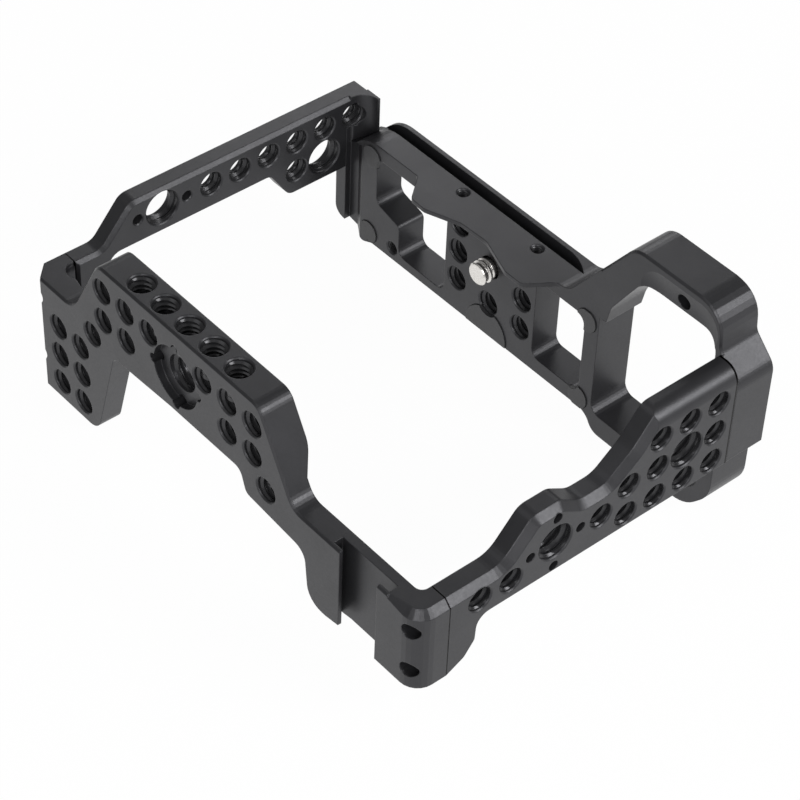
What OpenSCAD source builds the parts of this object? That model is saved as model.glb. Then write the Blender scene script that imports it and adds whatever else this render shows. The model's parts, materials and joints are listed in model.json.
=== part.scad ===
// Camera cage: four machined plates screwed together at their corners round a camera body.
// Lengths are millimetres. X runs along the top plate, Y across the opening, Z up.
// The origin is below the middle of the cage, on the plane that its lower edges rest on.

/* [Cage] */
// Width over the two side plates
cage_w = 143.2; // [138:0.1:150]
// Depth from the top plate's face to the bottom plate's outer face
cage_d = 105.7; // [100:0.1:115]
// Height of the hand loop above the lowest edge
cage_h = 63.6; // [61:0.1:66]

/* [Threaded holes] */
// Radius of the quarter inch holes at the thread's nominal size
quarter_r = 3.2; // [3:0.05:3.3]
// Radius of the three eighths inch holes at the thread's nominal size
three_eighth_r = 4.8; // [4.6:0.05:4.9]
// Distance between neighbouring holes of a row
hole_pitch = 9; // [8.8:0.05:9.1]
// Width of the countersink at the mouth of each threaded hole
mouth_bevel = 0.35; // [0.2:0.05:0.5]
// Radius of the small locating pin holes
pin_hole_r = 1.35; // [1.2:0.05:1.45]
// Distance of the locating pin holes from their three eighths inch hole
pin_hole_reach = 7.45; // [7.2:0.05:7.8]

/* [Top plate] */
// Thickness of the plate
top_t = 6.1; // [5.6:0.1:6.6]
// Thickness of the band along its upper edge
band_t = 9; // [8:0.1:10]
// Height of its upper edge
top_h = 55; // [53:0.1:57]
// Width of the upright bevel on its left corner
corner_bevel = 4; // [3:0.1:4.6]
// Radius of its right corner
corner_r = 5; // [4:0.1:6]
// Height of the locating hole
locator_z = 41.6; // [40.8:0.1:42.4]
// Radius of the recess round the locating hole
locator_recess_r = 8.2; // [7.8:0.1:8.5]
// Depth of that recess
locator_recess_t = 2; // [1:0.1:3]
// Distance from the locating hole to the first hole beside it
first_hole_x = 10.05; // [9.9:0.05:10.3]
// Height of the upper row of holes
row_z = 47.9; // [47.5:0.1:48.4]
// Depth of the holes in the upper edge
edge_hole_depth = 8.4; // [7:0.1:9]
// Size of the bevel along the upper edge
edge_bevel = 0.5; // [0.4:0.1:1]

/* [Accessory shoe] */
// Middle of the shoe from the left side
shoe_x = 123.2; // [122.6:0.1:123.8]
// Width between the lips
shoe_throat_w = 12.6; // [12.5:0.05:12.8]
// Width of the channel behind the lips
shoe_channel_w = 18.6; // [18.4:0.05:18.8]
// Thickness of the lips
shoe_lip_t = 1; // [0.9:0.05:1.2]
// Depth of the channel behind the lips
shoe_channel_t = 2.5; // [2.2:0.05:2.8]

/* [Grip side plate] */
// Thickness of the plate
grip_t = 6.3; // [5.9:0.1:6.8]
// Height of its high end
grip_h = 51.7; // [50.5:0.1:52.5]
// Size of the bevel on its outer face
grip_bevel = 1.9; // [1.4:0.1:2.2]
// Radius of the round on its high end
grip_high_r = 4.4; // [3.6:0.1:5]

/* [Bottom plate] */
// Thickness from its rest face to its outer face
bottom_t = 11.7; // [11:0.1:12.4]
// Thickness of its web
web_t = 8.4; // [8:0.1:8.8]
// Height of the thick ledge along its upper edge
ledge_rim_h = 8; // [7:0.1:9]
// Height of its upper edge
ledge_h = 37.2; // [36.6:0.1:37.6]
// Thickness of the thin lip over the camera's front
lip_t = 1.2; // [0.9:0.1:1.5]
// Reach of that lip
lip_reach = 7.1; // [5:0.1:8]
// Radius of the small threaded holes in its upper edge
ledge_hole_r = 1.5; // [1.4:0.05:1.6]
// Width of the groove in its upper edge
ledge_groove_w = 3.3; // [3:0.1:3.6]
// Depth of that groove
ledge_groove_t = 4.2; // [3.4:0.1:4.4]
// Thickness of the wall outside that groove
ledge_wall_t = 1.3; // [1:0.1:1.6]
// Size of the bevel round the front of the hand loop
loop_bevel = 0.5; // [0.3:0.1:0.8]

/* [Left side plate] */
// Thickness of the plate
left_t = 5; // [4.8:0.1:5.6]
// Height of its upper edge
left_h = 44.3; // [43.6:0.1:45]
// Height of its ends
left_low_h = 34.2; // [33.8:0.1:34.8]

/* [Camera screw] */
// Radius of the screw's thread
screw_r = 3.175; // [3.1:0.005:3.2]
// Height of the screw's axis
screw_z = 26.2; // [25.8:0.1:26.6]
// Length that stands out of the rest face
screw_reach = 4.4; // [4:0.1:5]
// Distance that the screw can be pushed back
screw_travel = 3.4; // [2.5:0.1:3.4]
// Radius of the screw's head
screw_head_r = 5.5; // [5.2:0.1:5.8]
// Thickness of the screw's head
screw_head_t = 2.6; // [2.2:0.1:2.9]

/* [Corner screws and pins] */
// Radius of the corner screws
corner_screw_r = 1; // [0.9:0.05:1.1]
// Radius of their heads
corner_head_r = 1.7; // [1.6:0.05:1.75]
// Height of their heads
corner_head_t = 2; // [1.6:0.1:2.4]
// Length of their shanks
corner_screw_l = 8; // [7:0.5:8]
// Radius of the locating pins
dowel_r = 0.75; // [0.6:0.05:0.8]
// Length of the locating pins
dowel_l = 5; // [4:0.5:5]

/* [Rest pads] */
// Radius of the round pads
pad_r = 3.2; // [2.8:0.1:3.4]
// Thickness of the pads
pad_t = 1; // [0.8:0.1:1.4]
// Height of the pads above the rest face
pad_proud = 0.3; // [0.2:0.05:0.4]

/* [Hidden] */

// One overrun for every cut, and the smoothness of round and bent shapes.
over = 1 * quarter_r;
round_fn = 48;
arc_steps = 6;
black = "#26272a";
dark = "#18191b";
steel = "#c9c9c6";

// Running and slip clearances.
slip_gap = quarter_r / 64;
head_gap = quarter_r / 16;
pad_gap = quarter_r / 64;

// The bottom plate's rest face.
bottom_y = cage_d - bottom_t;

// Corner joints: where the top plate ends and the side plates begin.
left_seam_y = 1.656 * top_t;
left_seam_shares = [0.82, 1.8, 2.46, 1.11];
grip_seam_y = 1.5 * top_t;
grip_x = cage_w - grip_t;
corner_fillet_r = top_t / 3;

// Outline of the top plate: shares of cage_w and top_h, and a radius in shares of blend_r.
blend_r = cage_w / 36;
top_outline_shares = [
    [0, 0, 0], [0.178, 0, 1.2], [0.235, 0.542, 0.6], [0.391, 0.562, 2], [0.571, 0.562, 0.7],
    [0.586, 0.453, 0.5], [0.732, 0.417, 1], [0.743, 0.153, 1.3], [0.786, 0.153, 1],
    [0.82, 0.166, 0], [1, 0.166, 0], [1, 0.595, 0], [0.703, 0.595, 1.2], [0.618, 1, 1],
    [0.199, 1, 1], [0.121, 0.622, 1.5], [0, 0.622, 0]];
bar_low_z = top_outline_shares[9][1] * top_h;
bar_h = top_outline_shares[11][1] * top_h;
left_bar_h = top_outline_shares[16][1] * top_h;
// Distance of the locating hole from the left side.
locator_x_share = 0.4057;
locator_x = locator_x_share * cage_w;
// Heights between which the band thickens, and the band's ends.
band_step_shares = [0.676, 0.785];
band_end_shares = [0.12, 0.71];
// Leg holes: first column and row, as shares of cage_w and top_h.
leg_hole_shares = [0.0745, 0.097];
// Single holes on the two slopes: distance from the locating hole and height.
slope_hole_shares = [0.23, 0.569];
// Notches of the locating recess.
notch_r = locator_recess_r / 6;
notch_turns = [0, 90, 180, 270];
// The shallow round pocket in the slant beside the left seam: middle and radius.
seam_pocket_shares = [1.2, 1.57];
seam_pocket_r = 0.59 * top_t;

// Counterbored corner screws of the top plate: heights as shares of the bar's height.
top_left_screw_shares = [0.3, 0.86];
top_grip_screw_shares = [0.445, 0.82];
top_left_screw_x = left_t / 2;
top_grip_screw_x = cage_w - grip_t / 2;
left_counterbore_end = left_seam_y - 2.88 * corner_screw_r;
grip_counterbore_end = grip_seam_y - 2.88 * corner_screw_r;
counterbore_r = corner_head_r + 2.25 * head_gap;
bottom_counterbore_r = corner_head_r + head_gap / 2;
tip_gap = 1.5 * head_gap;

// Outline of the grip side plate: shares of cage_d and grip_h.
grip_outline_shares = [
    [0.134, 0.226, 0.6], [0.161, 0.3, 0.4], [0.165, 0.435, 0.9], [1, 0.435, 0], [1, 1, 0],
    [0.657, 1, 0.9], [0.598, 0.853, 3], [0.525, 0.737, 1.6], [0.454, 0.737, 1.4],
    [0.394, 0.812, 1], [0.317, 0.812, 1], [0.237, 0.6325, 1.8]];
grip_high_start_share = 0.58;
// Hole block at the high end: middle column, middle row.
grip_block_y_share = 0.752;
grip_block_z_share = 0.683;
grip_locator_shares = [0.3756, 0.608];
grip_single_shares = [[0.506, 0.594], [0.2545, 0.535], [0.1695, 0.535]];

// Heights on the bottom plate are shares of its ledge's height up to 1, and go from there to the
// top of the loop at 2.
function web_z(share) = share <= 1 ? share * ledge_h : ledge_h + (share - 1) * (cage_h - ledge_h);

// Outline of the bottom plate: shares of cage_w, heights as above, radii in shares of blend_r.
bottom_left_share = 0.0091;
bottom_outline_shares = [
    [bottom_left_share, 0.159, 0.8], [0.066, 0.116, 0.5], [0.086, 0.072, 0.5], [0.113, 0.116, 0.6],
    [0.683, 0.123, 1.2], [0.698, 0, 1], [0.926, 0, 2.4], [0.976, 0.222, 2.5],
    [0.976, 0.61, 0], [1, 0.61, 0], [1, 1.35, 1.2], [0.955, 1.59, 0.8], [0.949, 1.964, 1.8],
    [0.9, 2, 2], [0.752, 2, 1.6], [0.6145, 1, 1.5], [0.091, 1, 2.77], [0.049, 0.836, 0.3]];
web_edge_z = web_z(bottom_outline_shares[3][1]);
// The lug that carries the left side plate: its foot on the shoulder and its left side.
lug_foot_share = 0.812;
lug_left_share = 0.0035;
// Battery door window.
door_window_shares = [
    [0.692, 0.161, 0.8], [0.9455, 0.161, 1.2], [0.9455, 1.677, 1.1], [0.775, 1.677, 1.1],
    [0.7145, 1.163, 2], [0.7067, 0.973, 0], [0.692, 0.973, 0]];
// Square window, and the stepped window.
square_window_shares = [
    [0.541, 0.236, 0.65], [0.66, 0.236, 0.65], [0.66, 0.898, 0.65], [0.541, 0.898, 0.65]];
step_window_shares = [
    [0.1865, 0.191, 0.65], [0.3115, 0.191, 0.65], [0.3115, 0.8925, 0.65], [0.122, 0.8925, 0.65],
    [0.122, 0.505, 0.65], [0.1865, 0.44, 0.4]];
// The outer side is open behind the web from the left end to here.
hollow_end_share = 0.68;
// The lip's wavy edge: share of cage_w, and share of its reach.
lip_outline_shares = [
    [0.112, 0, 0], [0.23, 0, 0.8], [0.269, 0.98, 1], [0.304, 1, 1.5], [0.37, 0.5, 3],
    [0.435, 0.45, 3], [0.512, 1, 2], [0.555, 1, 1.4], [0.588, 0, 0.8], [0.617, 0, 0]];
// Threaded holes in the rest face, and the small one by the lower edge.
bottom_hole_shares = [
    [0.343, 0.865], [0.343, 0.634], [0.343, 0.393], [0.426, 0.3915], [0.507, 0.6326], [0.507, 0.3915]];
small_hole_shares = [0.169, 0.2124];
small_hole_r = 1.2 * ledge_hole_r;
strap_hole_shares = [0.8625, 1.781];
strap_hole_r = 2;
// Small threaded holes in the upper edge: places along it, and across the plate.
ledge_hole_shares = [0.313, 0.5035];
ledge_hole_y_share = 0.4;
ledge_hole_depth = 4 * ledge_hole_r;
// The groove in the upper edge bends out of the plate's thickness from this share of cage_w.
ledge_groove_bend_share = 0.5377;
ledge_groove_r = 4.1 * ledge_groove_w;
// Upright groove in the rest face by the left end: its floor and its slope, and its depth.
rest_groove_shares = [0.058, 0.079];
rest_groove_t = web_t / 4.8;
// Shallow scoop in the front of the loop: its ends, its middle height, its radius and its depth.
scoop_end_shares = [0.817, 0.901];
scoop_z_share = 1.682;
scoop_r = 5 * blend_r;
scoop_t = scoop_r / 19;
// The bevel round the loop's front: lowest height, and where it ends on the left slope.
loop_bevel_end_shares = [1.45, 0.6832, 1.5];

// Outline of the left side plate: shares of cage_d and left_h.
left_outline_shares = [
    [0.165, 0.11, 0.7], [0.184, 0.715, 1], [0.656, 0.715, 0.6], [0.712, 0.515, 0.8]];
left_rise_shares = [0.17, 0.253];
left_end_share = 0.59;
left_end_y = bottom_y + left_end_share * bottom_t;
left_tab_z = 0.515 * left_h;
left_saddle_z = 0.942 * ledge_h;
left_inner_bevel = left_t / 5;
// The return at the far end: radius of its hollow corner, and thickness of its free end.
left_return_r = 0.98 * left_t;
left_return_t = 0.14 * left_t;
left_row_y_share = 0.4815;
left_row_z_share = 0.8668;
left_row_z = left_row_z_share * left_h;
left_low_row_z = left_row_z - hole_pitch;
left_locator_y_share = 0.34;
left_bottom_screw_shares = [0.562, 0.743];
left_bottom_dowel_share = 0.652;
left_bottom_screw_x = 0.56 * left_t;

// Seats of the bottom plate's corner screws.
bottom_grip_seat_y = bottom_y + 4.5 * corner_screw_r;
bottom_left_seat_y = bottom_y + 5.5 * corner_screw_r;

// Camera screw: seat, washer, undercut shank, pocket and snap ring.
screw_x_share = 0.4253;
screw_x = screw_x_share * cage_w;
seat_t = 3.5;
washer_t = 0.5;
washer_r = screw_head_r - head_gap;
shank_r = 0.82 * screw_r;
screw_slot_w = 1.3;
screw_slot_t = screw_head_t / 2;
screw_hole_r = screw_r + slip_gap;
pocket_r = screw_head_r + head_gap * 1.5;
ring_t = 0.8;
ring_groove_t = pocket_r / 12;
ring_y = bottom_y + seat_t + washer_t + screw_head_t + screw_travel + slip_gap;
ring_r = pocket_r + ring_groove_t - slip_gap;
ring_hole_r = screw_head_r - pocket_r / 6;
ring_gap_w = pocket_r / 3;
boss_wall = 1.2;
boss_r = pocket_r + ring_groove_t + boss_wall;

// Rest pads: places as shares of cage_w, with heights as on the bottom plate.
upper_left_pad_shares = [0.108, 0.87];
lower_left_pad_shares = [0.1035, 0.198];
upper_right_pad_shares = [0.664, 0.879];
lower_right_pad_shares = [0.6605, 0.2017];
lower_edge_pad_shares = [0.426, 0.14];
lower_edge_pad_r = 2.3 * pad_r;
pad_edge_gap = pad_proud;

// Points of a shape from its shares.
function sized(rows, w, h, r) = [for (s = rows) [s[0] * w, s[1] * h, s[2] * r]];

function web_sized(rows) = [for (s = rows) [s[0] * cage_w, web_z(s[1]), s[2] * blend_r]];

function unit2(v) = v / norm(v);

// Turn from one angle to another by the short way round.
function short_turn(a, b) = let (d = (b - a) % 360) d > 180 ? d - 360 : (d < -180 ? d + 360 : d);

// Points of the arc that rounds corner p between its neighbours a and b.
function corner_arc(a, p, b, r) =
    let (u = unit2(a - p))
    let (w = unit2(b - p))
    let (half = acos(max(-1, min(1, u * w))) / 2)
    let (c = p + unit2(u + w) * r / sin(half))
    let (t = r / tan(half))
    let (from = p + u * t - c)
    let (to = p + w * t - c)
    let (start = atan2(from[1], from[0]))
    let (turn = short_turn(start, atan2(to[1], to[0])))
    [for (i = [0 : arc_steps]) c + r * [cos(start + turn * i / arc_steps), sin(start + turn * i / arc_steps)]];

function flat2(v) = [v[0], v[1]];

// A closed outline with each corner rounded by the third value of its row.
function rounded(rows) =
    [for (i = [0 : len(rows) - 1])
        let (a = flat2(rows[(i + len(rows) - 1) % len(rows)]))
        let (p = flat2(rows[i]))
        let (b = flat2(rows[(i + 1) % len(rows)]))
        each rows[i][2] == 0 ? [p] : corner_arc(a, p, b, rows[i][2])];

// An outline drawn in X and Z, standing between two values of Y.
module stand_y(points, y0, y1) {
    translate([0, y1, 0]) rotate([90, 0, 0]) linear_extrude(y1 - y0) polygon(points);
}

// An outline drawn in Y and Z, standing between two values of X.
module stand_x(points, x0, x1) {
    translate([x0, 0, 0]) rotate([90, 0, 90]) linear_extrude(x1 - x0) polygon(points);
}

// A round rod along Y, along X or along Z.
module rod_y(x, z, y0, y1, r) {
    translate([x, y1, z]) rotate([90, 0, 0]) cylinder(h = y1 - y0, r = r, $fn = round_fn);
}

module rod_x(y, z, x0, x1, r) {
    translate([x0, y, z]) rotate([0, 90, 0]) cylinder(h = x1 - x0, r = r, $fn = round_fn);
}

module rod_z(x, y, z0, z1, r) {
    translate([x, y, z0]) cylinder(h = z1 - z0, r = r, $fn = round_fn);
}

// Cutters for threaded holes, each with a bevelled mouth at the face where it starts.
module threaded_y(x, z, face, far, r) {
    rod_y(x, z, face - over, far, r);
    translate([x, face - mouth_bevel, z]) rotate([-90, 0, 0])
        cylinder(h = 2 * mouth_bevel, r1 = r + 2 * mouth_bevel, r2 = r, $fn = round_fn);
}

module threaded_x(y, z, face, far, r) {
    rod_x(y, z, far, face + over, r);
    mouth_x(y, z, face, 1, r);
}

// The mouth alone, at a face that looks along X (way 1) or against it (way -1).
module mouth_x(y, z, face, way, r) {
    translate([face + way * mouth_bevel, y, z]) rotate([0, -90 * way, 0])
        cylinder(h = 2 * mouth_bevel, r1 = r + 2 * mouth_bevel, r2 = r, $fn = round_fn);
}

module threaded_z(x, y, face, far, r) {
    rod_z(x, y, far, face + over, r);
    translate([x, y, face + mouth_bevel]) rotate([180, 0, 0])
        cylinder(h = 2 * mouth_bevel, r1 = r + 2 * mouth_bevel, r2 = r, $fn = round_fn);
}

// Direction out of an outline at point i of a path that runs with the body on its left.
// It is long enough at a bend to keep the same distance from both stretches.
function stretch_out(a, b) = let (d = unit2(b - a)) [d[1], -d[0]];

function path_out(path, i) =
    let (last = len(path) - 1)
    let (u = stretch_out(path[max(i, 1) - 1], path[max(i, 1)]))
    let (w = stretch_out(path[min(i, last - 1)], path[min(i, last - 1) + 1]))
    (u + w) / (1 + u * w);

// Cutter for a bevel along a path: it takes size off the outline and depth off the face.
// The section lies in the path's plane and along the third axis, up being out of the face.
module bevel_cutter(path, sizes, depths) {
    n = len(path);
    points = [for (i = [0 : n - 1])
        let (out = path_out(path, i))
        let (e = over / 8)
        let (slope = depths[i] / sizes[i])
        each [
            [path[i][0] + out[0] * e, path[i][1] + out[1] * e, -depths[i] - e * slope],
            [path[i][0] - out[0] * (sizes[i] + e), path[i][1] - out[1] * (sizes[i] + e), e * slope],
            [path[i][0] + out[0] * e, path[i][1] + out[1] * e, e * slope]]];
    sides = [for (i = [0 : n - 2]) for (k = [0 : 2])
        let (a = 3 * i + k)
        let (b = 3 * i + (k + 1) % 3)
        each [[a, a + 3, b], [b, a + 3, b + 3]]];
    polyhedron(points = points, faces = concat([[0, 1, 2]], sides, [[3 * n - 1, 3 * n - 2, 3 * n - 3]]));
}

// The cage is drawn from its left front corner and moved to its origin as a whole.
module placed() {
    translate([-cage_w / 2, -cage_d / 2, 0]) children();
}

// Corner hardware along Y: a cap screw with its head towards low or high Y, and a locating pin.
module cap_screw(x, z, seat_y, way) {
    translate([x, seat_y, z]) rotate([way > 0 ? -90 : 90, 0, 0]) {
        cylinder(h = corner_screw_l, r = corner_screw_r, $fn = round_fn);
        difference() {
            translate([0, 0, -corner_head_t])
                cylinder(h = corner_head_t, r = corner_head_r, $fn = round_fn);
            translate([0, 0, -corner_head_t - over])
                cylinder(h = over + corner_head_t * 0.6, r = corner_head_r * 0.5, $fn = 6);
        }
    }
}

// A third of each pin stands in the side plate, which lies towards high Y (way 1) or low Y (way -1).
module dowel(x, z, seam, way) {
    shift = -way * dowel_l / 6;
    rod_y(x, z, seam + shift - dowel_l / 2, seam + shift + dowel_l / 2, dowel_r);
}

// A screw's hole in a side plate, from the seam to just past the screw's tip.
module screw_hole(x, z, seam, tip) {
    start = seam + (tip > seam ? -over : over);
    end = tip + (tip > seam ? tip_gap : -tip_gap);
    rod_y(x, z, min(start, end), max(start, end), corner_screw_r + slip_gap);
}

module dowel_hole(x, z, seam, way) {
    shift = -way * dowel_l / 6;
    reach = dowel_l / 2 + head_gap;
    rod_y(x, z, seam + shift - reach, seam + shift + reach, dowel_r + slip_gap / 2);
}

// Values of the four corner joints that two modules share.
top_left_screw_z = [for (s = top_left_screw_shares) s * bar_h];
top_grip_screw_z = [for (s = top_grip_screw_shares) s * bar_h];
top_left_dowel_z = (top_left_screw_z[0] + top_left_screw_z[1]) / 2;
top_grip_dowel_z = (top_grip_screw_z[0] + top_grip_screw_z[1]) / 2;
bottom_left_screw_z = [for (s = left_bottom_screw_shares) s * left_h];
bottom_left_dowel_z = left_bottom_dowel_share * left_h;
bottom_grip_dowel_z = grip_block_z_share * grip_h;
bottom_grip_screw_z = [for (side = [-1, 1]) bottom_grip_dowel_z + side * hole_pitch / 2];

// Top plate.
module top_plan() {
    s = left_seam_shares;
    outline = rounded([
        [corner_bevel, 0, 0], [cage_w, 0, corner_r], [cage_w, grip_seam_y, 0],
        [grip_x, grip_seam_y, 0], [grip_x, top_t, corner_fillet_r],
        [s[2] * left_t, top_t, 0], [s[1] * left_t, s[3] * top_t, 0],
        [s[0] * left_t, left_seam_y, 0], [0, left_seam_y, 0], [0, corner_bevel, 0]]);
    linear_extrude(top_h) polygon(outline);
}

module top_band() {
    z0 = band_step_shares[0] * top_h;
    z1 = band_step_shares[1] * top_h;
    stand_x(rounded([[0, z0, 0], [top_t, z0, 0], [band_t, z1, 2 * blend_r], [band_t, top_h, 0], [0, top_h, 0]]),
        band_end_shares[0] * cage_w, band_end_shares[1] * cage_w);
}

module top_face_holes() {
    for (side = [-1, 1]) {
        for (i = [0 : 2])
            threaded_y(locator_x + side * (first_hole_x + i * hole_pitch), row_z, 0, band_t + over, quarter_r);
        for (i = [1 : 2])
            threaded_y(locator_x + side * (first_hole_x + i * hole_pitch), row_z - hole_pitch,
                0, band_t + over, quarter_r);
        threaded_y(locator_x + side * slope_hole_shares[0] * cage_w, slope_hole_shares[1] * top_h,
            0, band_t + over, quarter_r);
    }
    for (i = [0 : 1]) for (k = [0 : 2])
        threaded_y(leg_hole_shares[0] * cage_w + i * hole_pitch, leg_hole_shares[1] * top_h + k * hole_pitch,
            0, band_t + over, quarter_r);
}

module top_locator() {
    rod_y(locator_x, locator_z, -over, band_t + over, three_eighth_r);
    rod_y(locator_x, locator_z, -over, locator_recess_t, locator_recess_r);
    for (a = notch_turns)
        rod_y(locator_x + locator_recess_r * cos(a), locator_z + locator_recess_r * sin(a),
            -over, locator_recess_t * 2, notch_r);
}

module top_edge_holes() {
    for (i = [-2 : 2])
        threaded_z(locator_x + i * hole_pitch, band_t / 2, top_h, top_h - edge_hole_depth, quarter_r);
}

module shoe_cut() {
    throat_x0 = shoe_x - shoe_throat_w / 2;
    channel_x0 = shoe_x - shoe_channel_w / 2;
    lip_low = top_outline_shares[8][1] * top_h;
    throat = rounded([
        [throat_x0, lip_low - over, 0], [throat_x0 + shoe_throat_w, lip_low - over, 0],
        [throat_x0 + shoe_throat_w, top_h, 0], [throat_x0, top_h, 0]]);
    stand_y(throat, -over, shoe_lip_t + over / 8);
    translate([channel_x0, shoe_lip_t, 0]) cube([shoe_channel_w, shoe_channel_t, top_h]);
}

module top_edge_bevel() {
    body = rounded(sized(top_outline_shares, cage_w, top_h, blend_r));
    upper = [for (p = body) if (p[1] > bar_h - lip_t && p[0] > 0 && p[0] < cage_w) p];
    left_z = upper[len(upper) - 1][1];
    path = concat([[cage_w + over, bar_h]], upper, [[-over, left_z]]);
    same = [for (p = path) edge_bevel];
    rotate([90, 0, 0]) bevel_cutter(path, same, same);
}

// Bevel over the right corner, which fades in from the front face and meets the grip side's bevel.
module top_corner_bevel() {
    corner = corner_arc([0, 0], [cage_w, 0], [cage_w, grip_seam_y], corner_r);
    path = concat([[cage_w - 2 * corner_r, -grip_bevel / 2]], corner, [[cage_w, grip_seam_y + over]]);
    same = [for (p = path) grip_bevel];
    translate([0, 0, bar_h]) bevel_cutter(path, same, same);
}

module top_plate() {
    color(black) placed() difference() {
        intersection() {
            stand_y(rounded(sized(top_outline_shares, cage_w, top_h, blend_r)), 0, left_seam_y);
            union() {
                top_plan();
                top_band();
            }
        }
        top_face_holes();
        top_locator();
        top_edge_holes();
        shoe_cut();
        top_edge_bevel();
        top_corner_bevel();
        for (z = top_left_screw_z) {
            rod_y(top_left_screw_x, z, -over, left_counterbore_end, counterbore_r);
            rod_y(top_left_screw_x, z, 0, left_seam_y + over, corner_screw_r + head_gap);
        }
        for (z = top_grip_screw_z) {
            rod_y(top_grip_screw_x, z, -over, grip_counterbore_end, counterbore_r);
            rod_y(top_grip_screw_x, z, 0, grip_seam_y + over, corner_screw_r + head_gap);
        }
        dowel_hole(top_left_screw_x, top_left_dowel_z, left_seam_y, 1);
        dowel_hole(top_grip_screw_x, top_grip_dowel_z, grip_seam_y, 1);
        rod_z(seam_pocket_shares[0] * top_t, seam_pocket_shares[1] * top_t,
            left_bar_h - lip_t, top_h, seam_pocket_r);
    }
}

// Grip side plate.
function grip_outline() = concat(
    [[grip_seam_y, bar_low_z, 0]],
    [for (s = grip_outline_shares) [s[0] == 1 ? bottom_y : s[0] * cage_d, s[1] * grip_h, s[2] * blend_r]],
    [[grip_seam_y, bar_h, 0]]);

module grip_holes() {
    y0 = grip_block_y_share * cage_d;
    z0 = grip_block_z_share * grip_h;
    for (i = [-1 : 1]) for (k = [-1 : 1]) if (i != 0 || k != 0)
        threaded_x(y0 + i * hole_pitch, z0 + k * hole_pitch, cage_w, grip_x - over, quarter_r);
    threaded_x(y0, z0, cage_w, grip_x - over, three_eighth_r);
    for (k = [-1 : 0])
        threaded_x(y0 - 2 * hole_pitch, z0 + k * hole_pitch, cage_w, grip_x - over, quarter_r);
    for (s = grip_single_shares)
        threaded_x(s[0] * cage_d, s[1] * grip_h, cage_w, grip_x - over, quarter_r);
}

module grip_locator() {
    y0 = grip_locator_shares[0] * cage_d;
    z0 = grip_locator_shares[1] * grip_h;
    threaded_x(y0, z0, cage_w, grip_x - over, three_eighth_r);
    for (a = notch_turns)
        rod_x(y0 + pin_hole_reach * cos(a), z0 + pin_hole_reach * sin(a), cage_w - grip_t / 2,
            cage_w + over, pin_hole_r);
}

module grip_edge_bevel() {
    body = rounded(grip_outline());
    upper = [for (p = body) if (p[1] > bar_h - lip_t && p[0] < bottom_y - lip_t) p];
    path = concat([[bottom_y + over, grip_h]], upper, [[grip_seam_y - over, bar_h]]);
    same = [for (p = path) grip_bevel];
    translate([cage_w, 0, 0]) rotate([90, 0, 90]) bevel_cutter(path, same, same);
}

module grip_high_round() {
    x = cage_w - grip_high_r;
    z = grip_h - grip_high_r;
    y0 = grip_high_start_share * cage_d;
    difference() {
        translate([x, y0, z]) cube([grip_high_r + over, bottom_y + over - y0, grip_high_r + over]);
        rod_y(x, z, y0 - over, bottom_y + 2 * over, grip_high_r);
    }
}

module grip_side_plate() {
    color(black) placed() difference() {
        stand_x(rounded(grip_outline()), grip_x, cage_w);
        grip_holes();
        grip_locator();
        grip_edge_bevel();
        grip_high_round();
        for (z = top_grip_screw_z)
            screw_hole(top_grip_screw_x, z, grip_seam_y, grip_counterbore_end + corner_screw_l);
        for (z = bottom_grip_screw_z)
            screw_hole(top_grip_screw_x, z, bottom_y, bottom_grip_seat_y - corner_screw_l);
        dowel_hole(top_grip_screw_x, top_grip_dowel_z, grip_seam_y, 1);
        dowel_hole(top_grip_screw_x, bottom_grip_dowel_z, bottom_y, -1);
    }
}

// Bottom plate.
function bottom_outline() = rounded(concat(web_sized(bottom_outline_shares), [
    [left_t, web_z(lug_foot_share), 0], [left_t, left_saddle_z, 0], [lug_left_share * cage_w, left_saddle_z, 0],
    [lug_left_share * cage_w, left_tab_z, 0], [bottom_left_share * cage_w, left_tab_z - left_t / 4, 0]]));

module bottom_body() {
    stand_y(bottom_outline(), bottom_y, cage_d);
}

module window_cuts(near, far) {
    for (rows = [door_window_shares, square_window_shares, step_window_shares])
        stand_y(rounded(web_sized(rows)), near, far);
}

module bottom_hollow() {
    y0 = bottom_y + web_t;
    difference() {
        union() {
            translate([-over, y0, -over])
                cube([hollow_end_share * cage_w + over, bottom_t, ledge_h - ledge_rim_h + over]);
            translate([-over, y0, -over]) cube([left_t + over, bottom_t, cage_h + over]);
        }
        rod_y(screw_x, screw_z, bottom_y, cage_d + 2 * over, boss_r);
    }
}

module bottom_lip() {
    rows = [for (s = lip_outline_shares) [s[0] * cage_w, bottom_y - s[1] * lip_reach, s[2] * blend_r / 2]];
    last = len(rows) - 1;
    back = [[rows[last][0], bottom_y + lip_t, 0], [rows[0][0], bottom_y + lip_t, 0]];
    translate([0, 0, ledge_h - lip_t]) linear_extrude(lip_t) polygon(rounded(concat(rows, back)));
}

module screw_pocket() {
    rod_y(screw_x, screw_z, bottom_y - over, cage_d, screw_hole_r);
    rod_y(screw_x, screw_z, bottom_y + seat_t, cage_d + over, pocket_r);
    rod_y(screw_x, screw_z, ring_y, ring_y + ring_t, pocket_r + ring_groove_t);
}

module bottom_small_cuts() {
    far = bottom_y + web_t + mouth_bevel;
    for (s = ledge_hole_shares)
        threaded_z(s * cage_w, bottom_y + ledge_hole_y_share * bottom_t, ledge_h, ledge_h - ledge_hole_depth,
            ledge_hole_r);
    for (s = bottom_hole_shares)
        threaded_y(s[0] * cage_w, web_z(s[1]), bottom_y, far, quarter_r);
    threaded_y(small_hole_shares[0] * cage_w, web_z(small_hole_shares[1]), bottom_y, far, small_hole_r);
    threaded_y(strap_hole_shares[0] * cage_w, web_z(strap_hole_shares[1]), bottom_y, cage_d - lip_t,
        strap_hole_r);
}

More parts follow.
